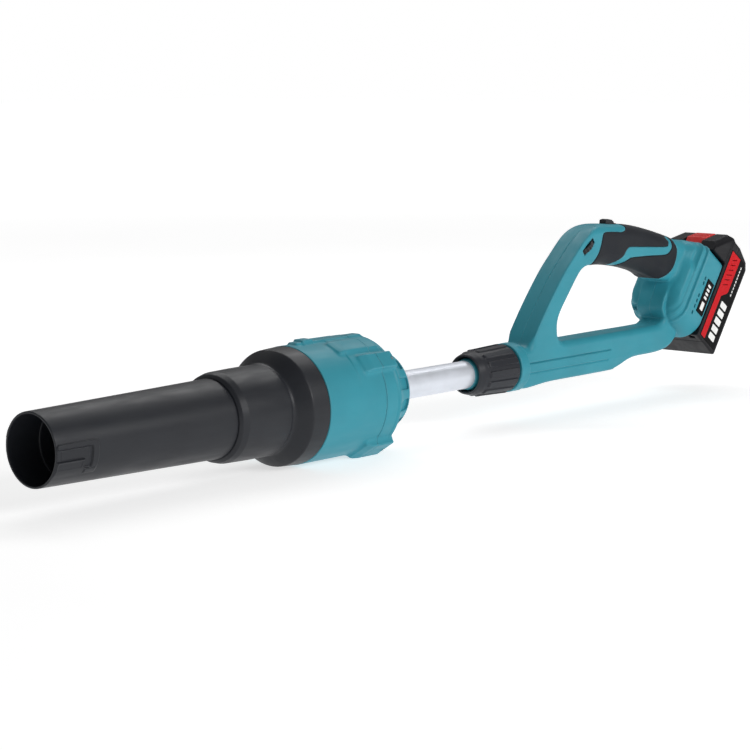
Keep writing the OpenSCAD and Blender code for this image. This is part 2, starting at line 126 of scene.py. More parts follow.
def polygon_distance(u, w, points):
    """Signed distance to a closed polygon, negative inside."""
    shape = np.broadcast(u, w).shape
    best, inside = np.full(shape, 1e18), np.zeros(shape, bool)
    for (au, aw), (bu, bw) in zip(points, np.roll(points, -1, 0)):
        eu, ew, pu, pw = bu - au, bw - aw, u - au, w - aw
        t = np.clip((pu * eu + pw * ew) / (eu * eu + ew * ew), 0, 1)
        best = np.minimum(best, (pu - t * eu) ** 2 + (pw - t * ew) ** 2)
        if bw != aw:
            inside ^= ((aw > w) != (bw > w)) & (u < eu * pw / ew + au)
    return np.where(inside, -np.sqrt(best), np.sqrt(best))


class Outline:
    """Signed distance to a closed outline, kept on a fine grid and read between its points."""

    def __init__(self, points, smooth=True, step=0.4, margin=14):
        curve = curve_through(points) if smooth else np.array(points, float)
        self.low, self.step = curve.min(0) - margin, step
        count = np.ceil((curve.max(0) + margin - self.low) / step).astype(int) + 1
        self.last = count - 1.001
        u = self.low[0] + step * np.arange(count[0])[:, None]
        w = self.low[1] + step * np.arange(count[1])[None, :]
        self.grid = polygon_distance(u, w, curve)

    def __call__(self, u, w):
        u, w = np.broadcast_arrays(u, w)
        fu = np.clip((u - self.low[0]) / self.step, 0, self.last[0])
        fw = np.clip((w - self.low[1]) / self.step, 0, self.last[1])
        i, j = fu.astype(int), fw.astype(int)
        fu, fw, g = fu - i, fw - j, self.grid
        return ((g[i, j] * (1 - fu) + g[i + 1, j] * fu) * (1 - fw)
                + (g[i, j + 1] * (1 - fu) + g[i + 1, j + 1] * fu) * fw)


# ---- Meshes ----


def new_mesh(name, points, faces):
    """Smooth-shaded object from points in millimetres and an array or list of faces."""
    mesh = bpy.data.meshes.new(name)
    if isinstance(faces, np.ndarray):
        mesh.vertices.add(len(points))
        mesh.vertices.foreach_set("co", (np.asarray(points) * MM).astype(np.float32).ravel())
        mesh.loops.add(faces.size)
        mesh.loops.foreach_set("vertex_index", faces.ravel().astype(np.int32))
        mesh.polygons.add(len(faces))
        mesh.polygons.foreach_set("loop_start", np.arange(0, faces.size, 4, dtype=np.int32))
        mesh.update(calc_edges=True)
    else:
        mesh.from_pydata([tuple(np.array(p) * MM) for p in points], [], faces)
    mesh.validate()
    mesh.shade_smooth()
    piece = bpy.data.objects.new(name, mesh)
    bpy.context.scene.collection.objects.link(piece)
    return piece


def surface(name, field, low, high, cell):
    """Mesh of the surface field(x, y, z) = 0 between two corners, by surface nets."""
    axes = [np.arange(a - 2 * cell, b + 3 * cell, cell) for a, b in zip(low, high)]
    grid = field(axes[0][:, None, None], axes[1][None, :, None], axes[2][None, None, :])
    grid = np.broadcast_to(grid, [len(a) for a in axes])
    spots, owners, quads = [], [], []
    for a in range(3):
        b, c = (a + 1) % 3, (a + 2) % 3
        near, far = [slice(None)] * 3, [slice(None)] * 3
        near[a], far[a] = slice(0, -1), slice(1, None)
        lower, upper = grid[tuple(near)], grid[tuple(far)]
        index = np.argwhere((lower < 0) != (upper < 0))
        v0, v1 = lower[tuple(index.T)], upper[tuple(index.T)]
        spot = index.astype(float)
        spot[:, a] += v0 / (v0 - v1)
        around = []
        for db, dc in ((0, 0), (1, 0), (1, 1), (0, 1)):
            at = index.copy()
            at[:, b] -= db
            at[:, c] -= dc
            around.append(np.ravel_multi_index(at.T, grid.shape))
        around = np.stack(around, 1)
        owners.append(around.ravel())
        spots.append(np.repeat(spot, 4, 0))
        quads.append(np.where((v0 < 0)[:, None], around, around[:, ::-1]))
    spots = np.concatenate(spots)
    cells, where = np.unique(np.concatenate(owners), return_inverse=True)
    share = np.bincount(where)
    points = np.stack([np.bincount(where, spots[:, i]) / share for i in range(3)], 1)
    points = points * cell + [a[0] for a in axes]
    faces = np.searchsorted(cells, np.concatenate(quads))
    step = 0.15 * cell
    for _ in range(3):
        slope = np.stack([
            (field(*(points + e).T) - field(*(points - e).T)) / (2 * step)
            for e in np.eye(3) * step
        ], 1)
        size = np.maximum((slope ** 2).sum(1), 0.3)
        points -= (np.clip(field(*points.T), -cell, cell) / size)[:, None] * slope
    return new_mesh(name, points, faces)


def round_corners(profile, steps=4):
    """Closed profile from (x, r, cut) corners, each rounded over the length cut."""
    out = []
    n = len(profile)
    for i in range(n):
        p = np.array(profile[i][:2], float)
        c = profile[i][2] if len(profile[i]) > 2 else 0
        if c == 0:
            out.append(p)
            continue
        a, b = np.array(profile[i - 1][:2]) - p, np.array(profile[(i + 1) % n][:2]) - p
        la, lb = np.hypot(*a), np.hypot(*b)
        a, b = p + a / la * min(c, 0.48 * la), p + b / lb * min(c, 0.48 * lb)
        for t in np.linspace(0, 1, steps + 1):
            out.append((1 - t) ** 2 * a + 2 * t * (1 - t) * p + t * t * b)
    return np.array(out)


def turned(name, profile, segments=160, relief=None):
    """Body of revolution about the pole's axis; relief(x, angle) is added to the radius."""
    profile = np.array(profile, float)
    angle = np.arange(segments) * 2 * np.pi / segments
    r = np.repeat(profile[:, 1:2], segments, 1)
    x = np.repeat(profile[:, :1], segments, 1)
    if relief is not None:
        r = r + relief(x, angle[None, :])
    points = np.stack([x, -r * np.cos(angle), r * np.sin(angle)], 2).reshape(-1, 3)
    i = np.arange(len(profile))[:, None] * segments
    j = np.arange(segments)[None, :]
    i2, j2 = np.roll(i, -1, 0), (j + 1) % segments
    faces = np.stack([i + j, i2 + j, i2 + j2, i + j2], 2).reshape(-1, 4)
    return new_mesh(name, points, faces)


def flat_normals(piece, angle=40):
    """Keeps flat faces flat and edges crisp on a turned or prism-like piece."""
    piece.data.set_sharp_from_angle(angle=math.radians(angle))
    weigh = piece.modifiers.new("weighted", "WEIGHTED_NORMAL")
    weigh.keep_sharp = True
    return piece


def finish_piece(piece, material, body, slot, *nodes):
    """Paints a piece, rides it on its body and stands it for its CAD nodes."""
    piece.data.materials.append(material)
    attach(piece, body)
    if nodes:
        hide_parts(*nodes)
    return piece


# ---- Materials ----


def linear(red, green, blue):
    """Linear colour of a display colour given from 0 to 255."""
    return tuple(((c / 255 + 0.055) / 1.055) ** 2.4 if c > 10 else c / 255 / 12.92
                 for c in (red, green, blue)) + (1,)


class Graph:
    """A material under construction."""

    def __init__(self, name):
        self.material = bpy.data.materials.new(name)
        self.material.use_nodes = True
        self.tree = self.material.node_tree
        self.shader = self.tree.nodes["Principled BSDF"]
        self.place = self.tree.nodes.new("ShaderNodeTexCoord").outputs["Object"]

    def add(self, kind, output=0, settings=None, **inputs):
        node = self.tree.nodes.new("ShaderNode" + kind)
        for key, value in (settings or {}).items():
            setattr(node, key, value)
        for key, value in inputs.items():
            socket = node.inputs[int(key[1:])] if key[0] == "i" and key[1:].isdigit() else \
                node.inputs[key.replace("_", " ")]
            self.set(socket, value)
        return node.outputs[output]

    def set(self, socket, value):
        if isinstance(value, bpy.types.NodeSocket):
            self.tree.links.new(value, socket)
        else:
            socket.default_value = value

    def noise(self, size, detail=3, stretch=(1, 1, 1), roughness=0.5):
        """Noise whose features are about size millimetres across."""
        at = self.add("Mapping", Vector=self.place, Scale=stretch)
        return self.add("TexNoise", Vector=at, Scale=1 / (size * MM), Detail=detail,
                        Roughness=roughness)

    def span(self, value, low, high, start=0.0, end=1.0):
        return self.add("MapRange", Value=value, From_Min=start, From_Max=end,
                        To_Min=low, To_Max=high)

    def blend(self, factor, first, second):
        return self.add("Mix", 2, {"data_type": "RGBA"}, i0=factor, i6=first, i7=second)

    def edges(self, low=0.52, high=0.6):
        """1 on raised edges."""
        point = self.add("NewGeometry", "Pointiness")
        return self.span(point, 0.0, 1.0, low, high)

    def bumps(self, *layers):
        """Adds layers of (height, depth in millimetres)."""
        normal = None
        for height, depth in layers:
            inputs = {"Height": height, "Distance": depth * MM, "Strength": 1.0}
            if normal is not None:
                inputs["Normal"] = normal
            normal = self.add("Bump", **inputs)
        self.set(self.shader.inputs["Normal"], normal)


def shade(colour, k):
    return tuple(c * k for c in colour[:3]) + (1,)


def moulded(name, colour, roughness, grain=0.5, depth=0.012, wear=0.25, mottle=0.07,
            specular=0.3):
    """Injection-moulded plastic: fine spark grain, faint flow marks and rubbed edges."""
    g = Graph(name)
    fine, broad = g.noise(grain, 4), g.noise(38, 3)
    flow = g.noise(9, 2, (0.25, 1, 1))
    tint = g.blend(g.span(broad, 0, 1, 0.3, 0.7), shade(colour, 1 - mottle),
                   shade(colour, 1 + mottle))
    speck = g.blend(g.span(fine, 0, 0.5, 0.35, 0.7), tint, shade(colour, 1.12))
    rub = g.add("Math", 0, {"operation": "MULTIPLY"}, i0=g.edges(),
                i1=g.span(g.noise(6, 3), wear * 0.3, wear, 0.35, 0.65))
    pale = tuple(c + 0.35 * (0.8 - c) for c in colour[:3]) + (1,)
    g.set(g.shader.inputs["Base Color"], g.blend(rub, speck, pale))
    rough = g.span(g.add("Math", 0, {"operation": "ADD"}, i0=flow,
                         i1=g.span(fine, -0.12, 0.12, 0.3, 0.7)),
                   roughness - 0.06, roughness + 0.08, 0.3, 0.7)
    g.set(g.shader.inputs["Roughness"], rough)
    g.shader.inputs["Specular IOR Level"].default_value = specular
    g.bumps((fine, depth), (broad, 0.05))
    return g.material


def soft_rubber(name, colour):
    """Soft grip: dense fine pimples, powdery sheen and slightly polished patches."""
    g = Graph(name)
    pimple = g.add("TexVoronoi", "Distance", {"feature": "SMOOTH_F1"}, Vector=g.place,
                   Scale=1 / (0.55 * MM), Smoothness=0.6)
    broad = g.noise(22, 4)
    tint = g.blend(g.span(broad, 0, 1, 0.35, 0.65), shade(colour, 0.86), shade(colour, 1.14))
    # The hollows between the pimples are painted darker: painted shade in the recesses.
    g.set(g.shader.inputs["Base Color"],
          g.blend(g.span(pimple, 0, 0.5, 0.1, 0.6), tint, shade(colour, 0.6)))
    g.set(g.shader.inputs["Roughness"], g.span(broad, 0.5, 0.68, 0.3, 0.7))
    g.shader.inputs["Sheen Weight"].default_value = 0.06
    g.shader.inputs["Sheen Roughness"].default_value = 0.5
    g.shader.inputs["Specular IOR Level"].default_value = 0.2
    g.bumps((pimple, -0.03), (g.noise(1.4, 3), 0.015))
    return g.material


def metal(name, colour, roughness, stretch=(0.05, 1, 1), grain=0.35, depth=0.004,
          shine=1.0):
    """Drawn or turned metal with fine lines and cloudy wear."""
    g = Graph(name)
    lines, cloud = g.noise(grain, 3, stretch), g.noise(16, 4)
    g.set(g.shader.inputs["Base Color"],
          g.blend(g.span(cloud, 0, 1, 0.35, 0.65), shade(colour, 0.94), colour))
    g.shader.inputs["Metallic"].default_value = shine
    both = g.add("Math", 0, {"operation": "ADD"}, i0=g.span(lines, -0.07, 0.07, 0.3, 0.7),
                 i1=g.span(cloud, roughness - 0.04, roughness + 0.06, 0.3, 0.7))
    g.set(g.shader.inputs["Roughness"], both)
    g.bumps((lines, depth))
    return g.material


def printed(name, colour, roughness=0.34):
    """Printed film: dot screen and tiny scratches."""
    g = Graph(name)
    dots = g.add("TexVoronoi", "Distance", {"feature": "F1"}, Vector=g.place,
                 Scale=1 / (0.32 * MM))
    scuff = g.noise(1.2, 4, (1, 1, 0.12))
    g.set(g.shader.inputs["Base Color"],
          g.blend(g.span(dots, 0, 1, 0.2, 0.7), shade(colour, 1.05), shade(colour, 0.88)))
    g.set(g.shader.inputs["Roughness"], g.span(scuff, roughness - 0.07, roughness + 0.12,
                                               0.35, 0.7))
    g.shader.inputs["Specular IOR Level"].default_value = 0.08
    g.bumps((scuff, 0.003), (g.noise(9, 2), 0.02))
    return g.material


TEAL = linear(46, 137, 153)
CHARCOAL = linear(33, 35, 40)
teal_plastic = moulded("teal_plastic", TEAL, 0.46, 0.5, 0.012, 0.3)
black_plastic = moulded("black_plastic", CHARCOAL, 0.42, 0.45, 0.014, 0.0, 0.1)
nut_plastic = moulded("nut_plastic", linear(33, 35, 41), 0.44, 0.5, 0.016, 0.2, 0.1)
gloss_black = moulded("gloss_black", linear(19, 19, 22), 0.28, 0.7, 0.006, 0.2, 0.08)
battery_plastic = moulded("battery_plastic", linear(19, 19, 23), 0.46, 0.42, 0.018, 0.1,
                           specular=0.2)
red_plastic = moulded("red_plastic", linear(214, 42, 40), 0.38, 0.5, 0.01, 0.2)
grip_rubber = soft_rubber("grip_rubber", linear(25, 29, 36))
pole_metal = metal("pole_aluminium", linear(222, 226, 234), 0.42, shine=0.55)
steel_metal = metal("steel", linear(150, 150, 154), 0.34, (1, 1, 1), 1.5, 0.008)
copper_wire = metal("copper_wire", linear(190, 108, 62), 0.36, (0.1, 1, 1), 0.8, 0.05)
brass_metal = metal("brass", linear(204, 168, 92), 0.3, (1, 1, 0.1))
board_green = moulded("board_green", linear(24, 92, 52), 0.3, 1.6, 0.03, 0.2, 0.18)
red_lead = moulded("red_lead", linear(180, 30, 28), 0.42, 1.0, 0.02, 0.1)
cell_wrap = moulded("cell_wrap", linear(120, 176, 104), 0.3, 3.0, 0.02, 0.2, 0.1)
label_red = printed("label_red", linear(196, 12, 24))
label_black = printed("label_black", linear(4, 4, 6), 0.5)
label_white = printed("label_white", linear(236, 236, 234))
label_grey = printed("label_grey", linear(112, 114, 122))

# ---- Nozzle ----

MOUTH_R = 32
END_R = 35.9
NOZZLE_LEN = 202.4


def lock_relief(x, angle):
    """Bayonet pad for accessories, on the near and the far side of the mouth."""
    turn = (angle + np.pi / 2) % np.pi - np.pi / 2
    s = turn * MOUTH_R
    pad = box2(x, s, (0.9, -23), (44.5, 7.2), 2.5)
    channel = np.minimum(box2(x, s, (-4, -6.9), (38, 3), 1.4), box2(x, s, (30, -15.4), (38, 3), 2))
    panel = box2(x, s, (5.2, -6.2), (35, 2.2), 1)
    rim = box2(x, s, (1, -7.9), (29.5, -6.9), 0.5)
    lower = box2(x, s, (2, -14), (27.5, -8.6), 1.5)
    foot = box2(x, s, (31.5, -21), (43, -15.8), 0.8)
    fade = ramp(s, -24, -12)
    soft = 0.35
    high = 1.15 * fade * (1 - ramp(pad, -soft, soft))
    high = high - 1.5 * (1 - ramp(channel, -soft, soft)) + 0.35 * (1 - ramp(panel, -soft, soft))
    high = high + 0.5 * (1 - ramp(rim, -soft, soft)) - 0.35 * (1 - ramp(lower, -soft, soft))
    return high + 0.8 * (1 - ramp(foot, -soft, soft))


def nozzle_shape():
    outer_x = np.concatenate([np.arange(1, 47, 0.5), np.arange(48, NOZZLE_LEN, 4), [NOZZLE_LEN]])
    outer = [(x, MOUTH_R + (END_R - MOUTH_R) * x / NOZZLE_LEN) for x in outer_x]
    lip = [(0.35, 31.9), (0.08, 31.55), (0, 31.2), (0, 30.7), (0.1, 30.3), (0.4, 30.02),
           (0.9, 29.9)]
    inside = [(203.2, 35.5), (203.4, 34.3), (223.2, 34.3), (223.5, 34), (223.5, 31.8),
              (190, 32.2), (60, 28.9), (36, 28.5), (34.6, 28.5), (34.1, 28.7), (34, 29.2),
              (33.7, 29.75), (33, 29.9), (20, 29.9)]
    profile = lip[::-1] + outer + inside

    def relief(x, angle):
        row = np.arange(len(profile)) - len(lip)
        return lock_relief(x, angle) * ((row >= 0) & (row < len(outer)))[:, None]

    return turned("nozzle", profile, 420, relief)


finish_piece(flat_normals(nozzle_shape(), 50), black_plastic, "nozzle", "black_plastic",
             "nozzle_tube")

# ---- Bell duct ----

bell = turned("bell", round_corners([
    (203, 35.2), (203, 36.9, 0.6), (205.6, 39.5, 0.8), (211.8, 41.1, 0.9), (237, 41.8, 8),
    (264.6, 41.9, 0.7), (265.8, 41.5, 0.6), (268.6, 41.9, 2.5), (272.2, 45.6, 4), (277.2, 50.6, 4),
    (280.6, 53.6, 1.3), (290, 54.2, 4), (300.4, 54.75, 0.5), (301, 54.2), (301, 51.9), (308, 51.9),
    (308, 49.6), (288, 49.6, 3), (277, 42, 6), (268, 39, 4), (250, 38.6), (228, 33.7), (225, 33.7),
    (224.5, 34.8),
], 6), 200)
finish_piece(flat_normals(bell, 45), black_plastic, "head", "black_plastic", "bell_duct")

# ---- Fan housing and rear cover ----

BARREL_R = 55
BARREL_START = 301.3
BARREL_END = 378
BARREL_MID = (BARREL_START + BARREL_END) / 2
BARREL_HALF = (BARREL_END - BARREL_START) / 2
TAIL_END = 431.5
FLANGE_END = 395
SCREW_R = 55.8
SCREW_ANGLES = (40, -58, 140, -122)


def around(y, z, degrees):
    """Distance across and out along the direction degrees above the near side."""
    c, s = math.cos(math.radians(degrees)), math.sin(math.radians(degrees))
    return y * s + z * c, z * s - y * c


# (start, end, direction, half width, radius) of the pads moulded on the barrel and the cover,
# and the length and slope of the fairing in front of each
PADS = [(366, 399, 40, 8.5, 59.6), (373, 401, -57, 14, 59.8), (345, 392, 66, 9, 57.4)]
PADS += [(a, b, 180 - c, w, r) for a, b, c, w, r in PADS]
FAIRING, FAIRING_SLOPE = 9, 0.34


def pads(x, y, z, first, last):
    found = np.float64(1e3)
    for start, end, angle, half, radius in PADS:
        across, out = around(y, z, angle)
        pad = box3((x, across, out), (max(start - FAIRING, first), -half, 40),
                   (min(end, last), half, radius), 1.6)
        fall = FAIRING_SLOPE * np.maximum(start - x, 0)
        pad = smooth_max(pad, out - radius + fall, 1)
        found = np.minimum(found, pad)
    return found


def screw_bores(y, z, radius):
    spots = [around(y, z, a) for a in SCREW_ANGLES]
    return np.minimum.reduce([np.hypot(t, out - SCREW_R) for t, out in spots]) - radius


def lead_cover(x, across, out):
    """Low ridge along the top, over the motor's lead."""
    return box3((x, across, out), (309, -5.6, 40), (397, 5.6, 57.2), 1.5)


def barrel(x, y, z):
    r = np.hypot(y, z)
    high = np.degrees(np.arctan2(z, np.abs(y)))
    step = 0.75 * ramp(x, 345.4, 347) * ramp(high, 12, 50)
    body = rounded(r - BARREL_R - step, np.abs(x - BARREL_MID) - BARREL_HALF, 0.4)
    across, out = around(y, z, 90)
    ridge = box3((x, across, out), (316.5, -6.5, 40), (331, 6.5, 59.2), 2)
    body = smooth_min(body, np.minimum(ridge, lead_cover(x, across, out)), 3)
    lugs = rounded(pads(x, y, z, 340, 500), x - BARREL_END + 0.05, 0.5)
    body = smooth_min(body, lugs, 5)
    body = smooth_max(body, np.abs(x - BARREL_MID) - BARREL_HALF, 0.5)
    body = cut(body, r - 51.1, 0.4)
    body = cut(body, rounded(r - 52, x - 309, 0.3), 0.3)
    return np.maximum(body, -np.maximum(screw_bores(y, z, 1.6), 370 - x))


def tail_radius(x):
    return np.interp(x, [BARREL_END, 395, 398, 401, 405, 409, 413, 417, 421, 425, 428.5, TAIL_END],
                     [55.3, 54.9, 53.8, 52.2, 49.6, 46.8, 44.2, 42, 40.4, 39.4, 38.8, 37])


def rear_cover(x, y, z):
    r = np.hypot(y, z)
    middle, half = (TAIL_END + BARREL_END) / 2 + 0.03, (TAIL_END - BARREL_END) / 2 - 0.03
    body = rounded((r - tail_radius(x)) * 0.85, np.abs(x - middle) - half, 0.6)
    # Pockets between the ribs of the tail, each with an air slot at its foot
    turn = (np.degrees(np.arctan2(z, -y)) + 15 + 360) % 30 - 15
    across, out = r * np.sin(np.radians(turn - 15 * np.sign(turn))), r
    pocket = rounded(np.abs(across) - 5.6, np.maximum(400 - x, x - 428.5), 2)
    floor = tail_radius(x) - 2.6 - out
    body = smooth_max(body, -rounded(pocket, floor, 0.8), 0.9)
    slit = rounded(np.abs(across) - 4.2, np.abs(x - 410.5) - 3.2, 1)
    body = smooth_max(body, -rounded(slit, 30 - r, 0.3), 0.4)
    rim = box3((x, r, 0 * r), (FLANGE_END, 40, -9), (399, 55.5, 9), 1.2)
    body = smooth_min(body, rim, 1.5)
    over_lead = lead_cover(x, *around(y, z, 90))
    body = smooth_min(body, np.minimum(pads(x, y, z, 300, 420), over_lead), 4)
    body = smooth_max(body, BARREL_END + 0.06 - x, 0.3)
    inner = np.interp(x, [397, 401, 405, 411, 421, 428], [50, 48, 45.4, 41, 36.2, 33])
    body = cut(body, np.maximum(r - inner, x - 428), 0.4)
    body = np.minimum(body, rounded(r - 17.5, np.abs(x - 416) - 15, 1))
    body = np.maximum(body, 14.15 - r)
    holes = np.minimum(np.maximum(screw_bores(y, z, 1.8), x - 396), np.maximum(
        screw_bores(y, z, 3.5), FLANGE_END - x))
    return cut(body, holes, 0.3)


finish_piece(surface("fan_barrel", barrel, (300, -61, -61), (379, 61, 61), 0.85), teal_plastic,
             "head", "teal_plastic", "fan_housing")
finish_piece(surface("fan_rear_cover", rear_cover, (377, -61, -61), (440, 61, 61), 0.85),
             teal_plastic, "head", "teal_plastic", "rear_cover")

# ---- Pole and twist nut ----

POLE_R = 14
pole_low, pole_high = cad("pole_tube")
pole = turned("pole", round_corners([
    (pole_low[0], POLE_R - 1.2), (pole_low[0], POLE_R, 0.4), (pole_high[0], POLE_R, 0.4),
    (pole_high[0], POLE_R - 1.2),
]), 128)
finish_piece(flat_normals(pole), pole_metal, "head", "pole_aluminium", "pole_tube")

NUT_RIBS = 14


def nut_relief(x, angle):
    """Raised grip pads with rounded front ends, all round the nut's wide part."""
    pitch = 2 * np.pi / NUT_RIBS
    across = ((angle + pitch / 2) % pitch - pitch / 2) * 23.5
    pad = box2(x, across, (572.5, -3.1), (617.5, 3.1), 1.6)
    fine = box2(x, across, (576, -2), (616, 2), 1.2)
    outside = np.minimum(ramp(x, 560, 566), 1)
    return outside * (1.3 * (1 - ramp(pad, -0.4, 0.5)) - 0.12 * (1 - ramp(fine, -0.6, 0.6)))


nut_nose = [(563.4, 16.7), (559, 18.6), (559.25, 19.3), (559.8, 19.9)]
nut_outer = [(x, np.interp(x, [560.6, 567, 574, 590, 606, 618.5],
                           [20.3, 21.9, 22.7, 23.2, 23.8, 24.1]))
             for x in np.arange(560.6, 618.6, 0.8)]
nut_profile = nut_nose + nut_outer + [
    (619.4, 23.9), (620.2, 23.2), (620.5, 22.6), (620.6, 20.2), (620.5, 19.9), (597.4, 19.9),
    (597, 19.6), (597, 17), (596.7, 16.7),
]


def nut_skin(x, angle):
    row = np.arange(len(nut_profile)) - len(nut_nose)
    return nut_relief(x, angle) * ((row >= 0) & (row < len(nut_outer)))[:, None]


finish_piece(flat_normals(turned("twist_nut_skin", nut_profile, 336, nut_skin), 50), nut_plastic,
             "nut", "black_plastic", "twist_nut")

collet_profile = [(558.6, 14.15), (558.6, 14.7), (561.5, 15.3), (564, 16.2), (601.5, 16.2),
                  (602, 19.3), (604.4, 19.3), (604.9, 16.2), (617.5, 16.2), (618, 19.3),
                  (621, 19.3), (621.5, 16.2), (633.9, 16.2), (633.9, 14.15)]
finish_piece(flat_normals(turned("collet_ring", collet_profile, 128)), teal_plastic,
             "handle", "teal_plastic", "clamp_collet")

# ---- Handle ----

LOOP_HALF = 17.5
HOUSING_HALF = 34.5
LEAN = math.radians(35.6)
PACK_ORIGIN = (930.5, 8.5)

# Seen from the side, in X and Z: the outside of the handle and the opening for the hand
HANDLE_OUTER = [
    (630, -20), (690, -20), (788, -20), (800, -18.6), (811, -15.4), (823, -11.2), (838, -9),
    (872, -8.5), (892, -6), (906, 0), (920, 14), (930, 40), (944, 74), (951, 92), (946, 104.5),
    (935, 109.4), (919, 112.8), (903, 117.2), (884, 122.5), (864, 127.7), (845, 131.9), (826, 135),
    (807, 136.8), (789, 137.8), (771, 138.3), (757, 134.8), (740, 124.6), (723, 110.3),
    (706, 95), (690, 77.7), (673, 57.6), (657, 36.6), (647, 22), (640, 20), (630, 20),
]
HAND_OPENING = [
    (712, 20.6), (790, 20.8), (868, 21), (882, 22.6), (890, 27), (887.5, 32), (884.5, 39),
    (887, 48), (894, 60), (899, 68.5), (891, 69.5), (875, 74), (861.5, 79.3), (846, 84),
    (827, 88.4), (808, 91.6), (789, 94), (768, 96), (746, 97.2), (736, 95), (727, 88.5),
    (711.4, 70.8), (697, 53.5), (691.5, 43), (691, 32), (695.5, 25), (702, 21.4),
]
# Where the soft grip lies, and the shell-coloured line left between its two skins
GRIP_ZONE = [
    (736, 84), (741, 90.5), (749, 97), (761.4, 107), (767.6, 118), (770.4, 127), (773.5, 129.6),
    (779, 130), (794, 129.3), (806, 128.4), (814.6, 130), (817, 133.5), (813.5, 137.5),
    (809, 146), (840, 146), (880, 142), (899, 126), (905, 112), (908, 102), (906, 92),
    (900, 83), (891, 76.5), (880, 72), (868, 68), (850, 68), (800, 74),
]
GRIP_LINE = [
    (785, 86), (790.6, 93.9), (799, 97.2), (808.1, 102), (814, 108), (818.5, 110.9),
    (823.8, 111.5), (850, 109.8), (886.3, 107.6), (891.2, 110.2), (892.6, 113.4), (890, 117),
    (896, 118.5), (898.4, 112), (896.8, 104.6), (890.5, 100), (882.6, 98.8), (859.3, 99.4),
    (826.1, 99.8), (820, 98.6), (813.8, 95.8), (802.7, 91.5), (798, 84),
]
SCREW_POSTS = [(674, 38), (706, 80), (775, 108), (836, 116), (842, 4), (902, 92), (893, 38)]
VENTS = (13.5, 21.6, 28.5, 35.3, 51, 57.1)
SWITCH_X, SWITCH_Z = 801, 134
DIAL = (745, -4.2, 116.5)
DIAL_R, DIAL_W, DIAL_TILT = 16, 5.6, math.radians(-35.2)

outer_line, opening_line = Outline(HANDLE_OUTER), Outline(HAND_OPENING)
grip_zone, grip_line = Outline(GRIP_ZONE), Outline(GRIP_LINE)


def to_pack(x, z):
    """Depth and length in the battery's frame."""
    dx, dz = x - PACK_ORIGIN[0], z - PACK_ORIGIN[1]
    return (dx * math.cos(LEAN) - dz * math.sin(LEAN), dx * math.sin(LEAN) + dz * math.cos(LEAN))


def switch_block(p, half_x, half_y, low, high, r=1):
    """Block centred on the switch, between two heights."""
    return box3(p, (SWITCH_X - half_x, -half_y, low), (SWITCH_X + half_x, half_y, high), r)


def to_dial(x, y, z):
    """Place in the dial's frame, whose third axis is the dial's."""
    dx, dz = x - DIAL[0], z - DIAL[2]
    c, s = math.cos(DIAL_TILT), math.sin(DIAL_TILT)
    return dx * c - dz * s, y - DIAL[1], dx * s + dz * c


def housing(x, y, z, shrink=0.0):
    """Wide rear housing with two raised bands round it."""
    v, u = to_pack(x, z)
    half = np.interp(v, [-62, -58, -54, -50, -48, -47, -42.4, -41.7, -38.1, -37.4, -35.2,
                         -34.7, -2],
                     [24, 29.5, 32.5, 33, 33, 34.4, 34.6, 32.4, 32.6, 35.3, 35.4, 34.5,
                      34.5]) - shrink
    half = half - 5 * ramp(u, 50, 66) * (1 - ramp(v, -51, -46))
    low = np.interp(v, [-62, -58, -52, -46, -38, -30, -2], [26, 15, 3, -4, -8, -9.6, -9]) + shrink
    high = np.interp(v, [-62, -56, -50, -48, -47, -42.4, -41.7, -38.1, -37.4, -35.2, -34.7, -2],
                     [79, 84.5, 87.4, 88, 89.7, 90, 88, 88.2, 91.5, 91.5, 90.5, 90.8]) - shrink
    middle = (low + high) / 2
    low_round = np.interp(v, [-61, -45, -30], [13, 18, 22])
    high_round = np.interp(v, [-61, -45, -30], [13, 11, 8])
    edge = low_round + (high_round - low_round) * ramp(u - middle, -6, 6)
    body = rounded(np.abs(y) - half, np.abs(u - middle) - (high - low) / 2, edge)
    return smooth_max(body * 0.9, -(v + 61 - shrink), 12)


def loop(x, y, z):
    """Flat-sided loop that rounds into an oval along the hand grip."""
    flat = smooth_max(outer_line(x, z), -opening_line(x, z), 2)
    grip = ramp(x, 742, 782) * ramp(z, 60, 84)
    bar = 1 - ramp(z, 18, 34)
    half = LOOP_HALF + 2.4 * ramp(x, 845, 892) * grip
    half = half - bar * 0.26 * np.maximum(-5.8 - z, 0)
    edge = 1.6 + 11.5 * grip + bar * (1.6 + 4.2 * ramp(z, 4, 12))
    return rounded(flat, np.abs(y) - half, edge)


def shell(x, y, z):
    """The moulded handle before its grips and openings are cut."""
    r = np.hypot(y, z)
    join = 1.5 + 7 * ramp(z, 40, 85)
    body = smooth_min(loop(x, y, z), housing(x, y, z), join)
    ring = rounded(r - 25.2, np.abs(x - 628.5) - 7, 1)
    neck = rounded(r - 25.2 + 0.75 * np.maximum(x - 630, 0), np.abs(x - 633) - 10, 1)
    return smooth_min(body, np.minimum(ring, neck), 3)


